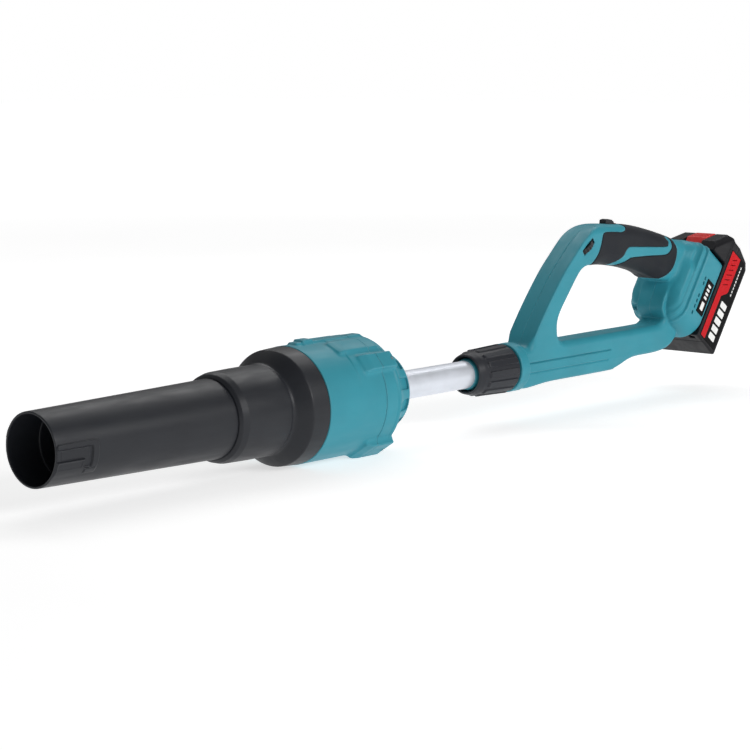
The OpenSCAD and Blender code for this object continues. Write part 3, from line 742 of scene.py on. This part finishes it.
def handle(x, y, z, side):
    """One half of the handle; side is -1 for the near half."""
    body = shell(x, y, z)
    v, u = to_pack(x, z)
    # Two fine grooves along the bar, and the row of air slots in the housing's side
    reach = np.maximum(np.abs(y) - LOOP_HALF - 1, LOOP_HALF - 1.5 - np.abs(y))
    line = np.minimum(rounded(np.abs(z - 3.4) - 0.7, np.abs(x - 711.5) - 76.5, 0.3),
                      rounded(np.abs(z + 7) - 0.7, np.abs(x - 709) - 74, 0.3))
    body = cut(body, np.maximum(line, reach), 0.4)
    holes = np.float64(1e3)
    for at in VENTS:
        holes = np.minimum(holes, box2(v, u, (-25.6, at - 2.5), (-22.8, at + 2.5), 1.3))
    body = cut(body, np.maximum(holes, HOUSING_HALF - 4 - np.abs(y)), 0.4)
    # Soft grips lie in a seat of their own
    seat = np.maximum(grip_zone(x, z), -grip_line(x, z))
    body = smooth_max(body, -np.maximum(seat - 0.12, -(loop(x, y, z) + 1.8)), 0.5)
    # Openings: pole, switch, dial and the well of the battery plate
    r = np.hypot(y, z)
    bore = np.minimum(np.maximum(r - 14.4, np.abs(x - 710) - 90), np.maximum(
        r - 16.6, np.abs(x - 626) - 8.5))
    body = np.maximum(body, -bore)
    body = cut(body, switch_block((x, y, z), 10.3, 6.5, 124, 150), 0.4)
    p, q, w = to_dial(x, y, z)
    slot = rounded(np.abs(w) - DIAL_W / 2 - 0.55, np.hypot(p, q) - DIAL_R - 0.8, 0.6)
    body = cut(body, slot, 0.8)
    body = cut(body, np.maximum(housing(x, y, z, 3), -8 - v), 0.5)
    body = smooth_max(body, v + 2.6, 0.8)
    if side > 0:
        for px, pz in SCREW_POSTS:
            body = cut(body, np.maximum(np.hypot(x - px, z - pz) - 3.4, 12 - y), 0.5)
    return smooth_max(body, -0.22 - side * y, 0.1)


def grip(x, y, z, side):
    """Soft skin of one half, standing a little proud of the shell."""
    body = loop(x, y, z)
    seat = smooth_max(grip_zone(x, z), -grip_line(x, z), 0.8)
    skin = rounded(seat + 0.1, body - 0.3, 0.9)
    skin = smooth_max(skin, -(body + 1.7), 0.2)
    v = to_pack(x, z)[0]
    skin = smooth_max(skin, v + 47, 0.5)
    skin = cut(skin, switch_block((x, y, z), 10.5, 6.7, 122, 150), 0.4)
    if side > 0:
        for px, pz in SCREW_POSTS:
            skin = cut(skin, np.maximum(np.hypot(x - px, z - pz) - 3.4, 12 - y), 0.5)
    return smooth_max(skin, 0.03 - side * y, 0.15)


for side, name in ((-1, "left"), (1, "right")):
    shell_y, grip_y = sorted((-side, 36 * side)), sorted((-0.75 * side, 27 * side))
    finish_piece(surface("shell_" + name, partial(handle, side=side), (620, shell_y[0], -27),
                         (986, shell_y[1], 141), 0.95),
                 teal_plastic, "handle", "teal_plastic", "handle_" + name)
    finish_piece(surface("grip_skin_" + name, partial(grip, side=side), (732, grip_y[0], 56),
                         (946, grip_y[1], 142), 0.7),
                 grip_rubber, "handle", "soft_grip", "grip_" + name)

# ---- Controls ----


def bezel(x, y, z):
    body = switch_block((x, y, z), 9.8, 6.1, 124.6, 137.4, 0.9)
    body = cut(body, switch_block((x, y, z), 8.6, 4.9, 126.3, 150, 0.8), 0.4)
    hole = np.hypot(x - SWITCH_X, z - SWITCH_Z) - 1.6
    return np.maximum(body, -hole)


rocker_line = Outline([
    (SWITCH_X - 7.6, 138), (SWITCH_X - 7, 130), (SWITCH_X, 128.4), (SWITCH_X + 7, 130),
    (SWITCH_X + 8, 137), (SWITCH_X + 7.8, 138.8), (SWITCH_X + 4, 141.2),
    (SWITCH_X - 2.6, 142.4), (SWITCH_X - 6.8, 141.8), (SWITCH_X - 7.4, 140.6),
], False)


def rocker(x, y, z):
    body = rounded(rocker_line(x, z), np.abs(y) - 4.5, 0.8)
    for at in (-5, -3.2, -1.4):
        bar = np.maximum(np.abs(x - SWITCH_X - at) - 0.4, 141.6 - z)
        body = cut(body, bar, 0.3)
    pin = rounded(np.hypot(x - SWITCH_X, z - SWITCH_Z) - 1.5, np.abs(y) - 5.4, 0.3)
    return np.minimum(body, pin)


def dial(x, y, z):
    p, q, w = to_dial(x, y, z)
    turn = np.arctan2(q, p) * 24
    edge = DIAL_R - 0.35 + 0.32 * np.cos(turn)
    body = rounded((np.hypot(p, q) - edge) * 0.9, np.abs(w) - DIAL_W / 2, 0.7)
    return np.maximum(body, 2.1 - np.hypot(p, q))


finish_piece(surface("switch_frame", bezel, (790, -7, 124), (812, 7, 139), 0.45), gloss_black,
             "handle", "black_plastic", "switch_bezel")
finish_piece(surface("rocker", rocker, (792, -6.4, 127), (810, 6.4, 145), 0.4), nut_plastic,
             "rocker", "black_plastic", "rocker_button")
finish_piece(surface("dial_wheel", dial, (726, -21, 98), (764, 13, 135), 0.55), gloss_black,
             "dial", "black_plastic", "speed_dial")

# ---- Battery ----

PACK_HALF = 36
case_line = Outline([
    (-1.6, -3), (39.5, -4.5), (41.5, -3), (41.5, 107), (36, 114.5), (15, 121.5), (-1.6, 121.5),
], False)
shoulder_line = Outline([
    (-28, 91.8), (-28, 104), (-8, 124.6), (-2, 124.6), (12, 118.5), (12, 91.8),
], False)
button_line = Outline([
    (-22, 92), (-22, 111.2), (-8.2, 124.9), (-4, 125.1), (4, 115), (4, 92),
], False)


def battery(x, y, z):
    v, u = to_pack(x, z)
    side = np.abs(y)
    block = rounded(case_line(v, u), side - PACK_HALF, 2.2)
    # Side faces sink a little inside a raised rim that frames the label
    field = box2(v, u, (1.6, -0.6), (38.8, 112.6), 3)
    block = cut(block, rounded(field, PACK_HALF - 0.3 - side, 0.2), 0.4)
    top = rounded(shoulder_line(v, u), side - PACK_HALF + 1, 1.6)
    slope = (u - v) / math.sqrt(2) - 93.6 + 0.95 * (side - 29)
    top = smooth_max(top, slope, 1.4)
    return smooth_min(block, top, 1)


def battery_front(x, y, z):
    """Rail side of the battery, up to the joint of its two mouldings."""
    v, u = to_pack(x, z)
    body = smooth_max(battery(x, y, z), v - 11.9, 0.5)
    for s in (-1, 1):
        body = cut(body, box3((v, y - s * 24, u), (-4, -1.6, -20), (6, 1.6, 82), 0.3), 0.3)
        body = cut(body, box3((v, y - s * 26, u), (2, -3.6, -20), (6, 3.6, 82), 0.3), 0.3)
        body = cut(body, box3((v, y - s * 10, u), (-4, -1.1, -20), (6, 1.1, 54), 0.3), 0.3)
    well = np.minimum(box3((v, y, u), (-40, -13.4, 91), (9.4, 13.4, 140), 0.8),
                      box3((v, y, u), (-2.6, -9.4, 82.6), (9.4, 9.4, 94), 0.8))
    return cut(body, well, 0.7)


def battery_back(x, y, z):
    return smooth_max(battery(x, y, z), 12.1 - to_pack(x, z)[0], 0.5)


def release(x, y, z):
    v, u = to_pack(x, z)
    body = rounded(button_line(v, u), np.abs(y) - 13, 1.3)
    along = (v + u) / math.sqrt(2)
    for at in (68, 72, 76):
        bar = np.maximum(np.abs(along - at) - 0.8, 92.8 - (u - v) / math.sqrt(2))
        body = cut(body, np.maximum(bar, np.abs(y) - 10), 0.7)
    return body


PACK_LOW, PACK_HIGH = (898, -38, -24), (1032, 38, 124)
finish_piece(surface("battery_front", battery_front, PACK_LOW, PACK_HIGH, 0.9), battery_plastic,
             "battery", "black_plastic", "battery_cover")
finish_piece(surface("battery_back", battery_back, PACK_LOW, PACK_HIGH, 0.9), battery_plastic,
             "battery", "black_plastic", "battery_case")
finish_piece(surface("release_wedge", release, (950, -14, 80), (1010, 14, 124), 0.6), red_plastic,
             "release", "red_plastic", "release_button")


def pack_point(v, y, u):
    return (PACK_ORIGIN[0] + v * math.cos(LEAN) + u * math.sin(LEAN), y,
            PACK_ORIGIN[1] - v * math.sin(LEAN) + u * math.cos(LEAN))


def patch(name, outline, y0, y1, material, body, slot, *nodes):
    """Thin plate in the battery's frame with the given (depth, length) outline."""
    ends = sorted((y0, y1), key=abs)
    chamfer = min(0.15, abs(y1 - y0) / 2) * math.copysign(1, ends[1])
    count = len(outline)
    centre = np.mean(outline, 0)
    rings = []
    for y, inset in ((ends[0], 0), (ends[1] - chamfer, 0), (ends[1], abs(chamfer))):
        for p in outline:
            away = np.array(p) - centre
            q = np.array(p) - away / np.hypot(*away) * inset
            rings.append(pack_point(q[0], y, q[1]))
    faces = [[i + k * count, (i + 1) % count + k * count, (i + 1) % count + (k + 1) * count,
              i + (k + 1) * count] for k in range(2) for i in range(count)]
    faces += [list(range(count))[::-1], [i + 2 * count for i in range(count)]]
    piece = new_mesh(name, rings, faces)
    made = bmesh.new()
    made.from_mesh(piece.data)
    bmesh.ops.recalc_face_normals(made, faces=made.faces)
    made.to_mesh(piece.data)
    made.free()
    flat_normals(piece, 30)
    return finish_piece(piece, material, body, slot, *nodes)


def corner_rounded(points, r):
    return [tuple(p) for p in round_corners([(a, b, r) for a, b in points], 5)]


LABEL = [(2.2, 0.2), (37.6, -0.8), (38.2, 102.6), (33.2, 111.6), (2.2, 111.6)]
RED_FIELD = [(3.4, 1.2), (12.6, 1), (12.9, 56.5), (15, 58.6), (21.5, 64.5), (23, 67),
             (23.2, 110.4), (3.4, 110.4)]
for side, name in ((-1, "left"), (1, "right")):
    face = side * (PACK_HALF - 0.3)
    patch("label_plate_" + name, corner_rounded(LABEL, 1.6), face, face + side * 0.3, label_black,
          "battery", "label_print", "battery_label_" + name)
    top = face + side * 0.3
    patch("label_red_" + name, corner_rounded(RED_FIELD, 0.8), top - side * 0.1, top + side * 0.06,
          label_red, "battery", "label_print")
    # Plain print: a charge gauge of five blocks, a thin rule and slanted hatching
    for k in range(5):
        low = 6 + k * 10
        block = [(18, low), (31, low), (31, low + 7.4), (18, low + 7.4)]
        patch("label_gauge_%s_%d" % (name, k), corner_rounded(block, 1.2), top - side * 0.1,
              top + side * 0.06, label_white, "battery", "label_print")
    for k in range(9):
        low = 66 + k * 4.4
        dash = [(29.2, low), (31, low), (31, low + 3), (29.2, low + 3)]
        patch("label_dash_%s_%d" % (name, k), corner_rounded(dash, 0.3), top - side * 0.1,
              top + side * 0.06, label_white, "battery", "label_print")
    for k in range(6):
        low = 69 + k * 6.4
        slant = [(8, low), (9.6, low), (18.6, low + 5), (17, low + 5)]
        patch("label_hatch_%s_%d" % (name, k), corner_rounded(slant, 0.3), top - side * 0.1,
              top + side * 0.06, label_grey, "battery", "label_print")

badge = corner_rounded([(-19.6, 18.2), (-5.2, 18.2), (-5.2, 59.8), (-19.6, 59.8)], 1)
patch("badge", badge, -HOUSING_HALF - 0.02, -HOUSING_HALF - 0.6, label_black, "handle",
      "badge_black", "badge_plate")
for k, (low, high) in enumerate(((23, 33), (37, 40), (42, 45), (47, 50), (52, 55))):
    mark = [(-15.4, low), (-9.4, low), (-9.4, high), (-15.4, high)]
    patch("badge_mark_%d" % k, corner_rounded(mark, 1.0), -HOUSING_HALF - 0.55,
          -HOUSING_HALF - 0.66, label_white, "handle", "label_print")

# ---- Finish of the CAD nodes that stay ----

for node, material in {
    "nose_cone": black_plastic, "motor_shroud": black_plastic, "motor_can": steel_metal,
    "motor_windings": copper_wire, "motor_bearings": steel_metal, "motor_shaft": steel_metal,
    "rotor_core": steel_metal, "impeller": black_plastic, "impeller_nut": steel_metal,
    "cover_screws": steel_metal, "pole_plug": black_plastic, "motor_lead": red_lead,
    "handle_screws": steel_metal, "dial_pot": steel_metal,
    "control_board": board_green, "board_parts": gloss_black, "handle_lead": red_lead,
    "battery_rails": black_plastic, "tool_terminals": brass_metal, "battery_cells": cell_wrap,
    "battery_board": board_green,
}.items():
    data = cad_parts[node].data
    data.materials.clear()
    data.materials.append(material)
    data.set_sharp_from_angle(angle=math.radians(32))

# ---- Floor, light and camera ----

FLOOR_Z = cad_low[2] / MM - 0.5


def studio_floor():
    g = Graph("floor_paint")
    cloud = g.noise(300, 3)
    g.set(g.shader.inputs["Base Color"], g.blend(g.span(cloud, 0, 1, 0.3, 0.7),
                                                 (0.62, 0.62, 0.62, 1), (0.65, 0.65, 0.65, 1)))
    away = g.add("VectorMath", 1, {"operation": "DISTANCE"}, i0=g.place, i1=(0.5, 0, 0))
    g.shader.inputs["Emission Color"].default_value = (1, 1, 1, 1)
    g.set(g.shader.inputs["Emission Strength"], g.span(away, 0.62, 0.88, 0.7, 3.5))
    g.set(g.shader.inputs["Roughness"], g.span(cloud, 0.75, 0.85, 0.3, 0.7))
    g.shader.inputs["Specular IOR Level"].default_value = 0.1
    size = 14000
    floor = new_mesh("floor", [(-size, -size, FLOOR_Z), (size, -size, FLOOR_Z),
                               (size, size, FLOOR_Z), (-size, size, FLOOR_Z)], [[0, 1, 2, 3]])
    floor.data.materials.append(g.material)
    floor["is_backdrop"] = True


def area_light(name, place, aim, size, power):
    lamp = bpy.data.lights.new(name, "AREA")
    lamp.shape, lamp.size, lamp.size_y, lamp.energy = "RECTANGLE", size[0], size[1], power
    lit = bpy.data.objects.new(name, lamp)
    lit.location = place
    lit.rotation_mode = "QUATERNION"
    lit.rotation_quaternion = (Vector(aim) - Vector(place)).to_track_quat("-Z", "Y")
    bpy.context.scene.collection.objects.link(lit)


studio_floor()
area_light("key", (0.75, -2.3, 1.15), (0.45, 0, 0.02), (2.0, 0.7), 37)
area_light("top", (1.4, 0.8, 1.5), (0.5, 0, 0), (2.2, 0.5), 15)

world = bpy.data.worlds.new("studio")
world.use_nodes = True
sky = world.node_tree
where = sky.nodes.new("ShaderNodeTexCoord").outputs["Generated"]
split = sky.nodes.new("ShaderNodeSeparateXYZ")
fall = sky.nodes.new("ShaderNodeMapRange")
sky.links.new(where, split.inputs[0])
sky.links.new(split.outputs[2], fall.inputs["Value"])
for key, value in (("From Min", 0.04), ("From Max", 0.08), ("To Min", 1.0), ("To Max", 0.2)):
    fall.inputs[key].default_value = value
sky.links.new(fall.outputs[0], sky.nodes["Background"].inputs["Strength"])
sky.nodes["Background"].inputs["Color"].default_value = (1, 1, 1, 1)
bpy.context.scene.world = world
bpy.context.scene.view_settings.view_transform = "Standard"

HEADING, DIP, ROLL = (math.radians(a) for a in (41.365, 8.202, -0.255))
look = Vector((math.cos(HEADING) * math.cos(DIP), math.sin(HEADING) * math.cos(DIP),
               -math.sin(DIP)))
level = Vector((math.sin(HEADING), -math.cos(HEADING), 0))
upward = level.cross(look)
right = math.cos(ROLL) * level + math.sin(ROLL) * upward
up = -math.sin(ROLL) * level + math.cos(ROLL) * upward
lens = bpy.data.cameras.new("camera")
lens.lens, lens.sensor_width = 105.175, 36
lens.clip_start, lens.clip_end = 0.05, 60
camera = bpy.data.objects.new("camera", lens)
camera.matrix_world = Matrix.Translation((-1.13019, -1.36804, 0.31310)) @ Matrix(
    (right, up, -look)).transposed().to_4x4()
bpy.context.scene.collection.objects.link(camera)
bpy.context.scene.camera = camera

low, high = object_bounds()
